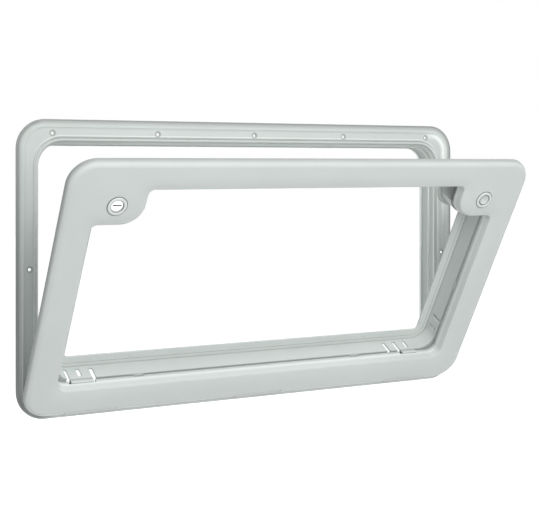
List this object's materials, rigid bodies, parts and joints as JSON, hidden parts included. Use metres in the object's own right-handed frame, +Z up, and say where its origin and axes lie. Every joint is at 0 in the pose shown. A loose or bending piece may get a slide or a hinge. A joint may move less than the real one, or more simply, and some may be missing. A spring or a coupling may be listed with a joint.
{
  "type": "bottom hinged service door with wall frame",
  "caption": "Rectangular access door kit for a caravan wall: a flanged wall frame and a bottom hinged, open centred door frame with a key lock and a push button.",
  "frame": {"origin": "middle of the bottom edge of the wall flange's flat back face, which lies against the outside of the vehicle's wall", "axes": "+X across the door to the right as seen from outside, +Y into the vehicle's wall, +Z up; at rest the door stands open 30 degrees, hinged along its bottom edge"},
  "size_m": [0.74, 0.247, 0.415],
  "materials": {
    "frame_plastic": "satin light grey moulded plastic",
    "door_plastic": "satin light grey moulded plastic",
    "rear_plastic": "satin light grey moulded plastic",
    "lock_plastic": "satin light grey moulded plastic",
    "key_metal": "bright satin metal",
    "cam_steel": "zinc plated steel",
    "pin_steel": "plain steel",
    "seal_rubber": "dull grey rubber"
  },
  "bodies": {
    "wall": {"wall_frame": "frame_plastic", "frame_seal": "seal_rubber", "hinge_pin_left": "pin_steel", "hinge_pin_middle": "pin_steel", "hinge_pin_right": "pin_steel"},
    "door": {"door_front_frame": "door_plastic", "door_rear_frame": "rear_plastic", "lock_ring_left": "lock_plastic", "lock_ring_right": "lock_plastic", "lock_housing_left": "lock_plastic", "lock_housing_right": "lock_plastic"},
    "key": {"key_cylinder": "key_metal", "lock_cam": "cam_steel", "cam_nut": "cam_steel"},
    "button": {"push_button": "lock_plastic"}
  },
  "joints": [
    {"name": "door_hinge", "type": "hinge", "parent": "wall", "child": "door", "pos_m": [0, -0.009, 0.009], "axis": [1, 0, 0], "range_deg": [-30, 140]},
    {"name": "key_turn", "type": "hinge", "parent": "door", "child": "key", "pos_m": [-0.295, -0.18213, 0.29887], "axis": [0, -0.866, -0.5], "range_deg": [0, 90]},
    {"name": "button_press", "type": "slide", "parent": "door", "child": "button", "axis": [0, 0.866, 0.5], "range_m": [0, 0.003], "stiffness_N_per_m": 400, "springref_m": -0.004}
  ]
}
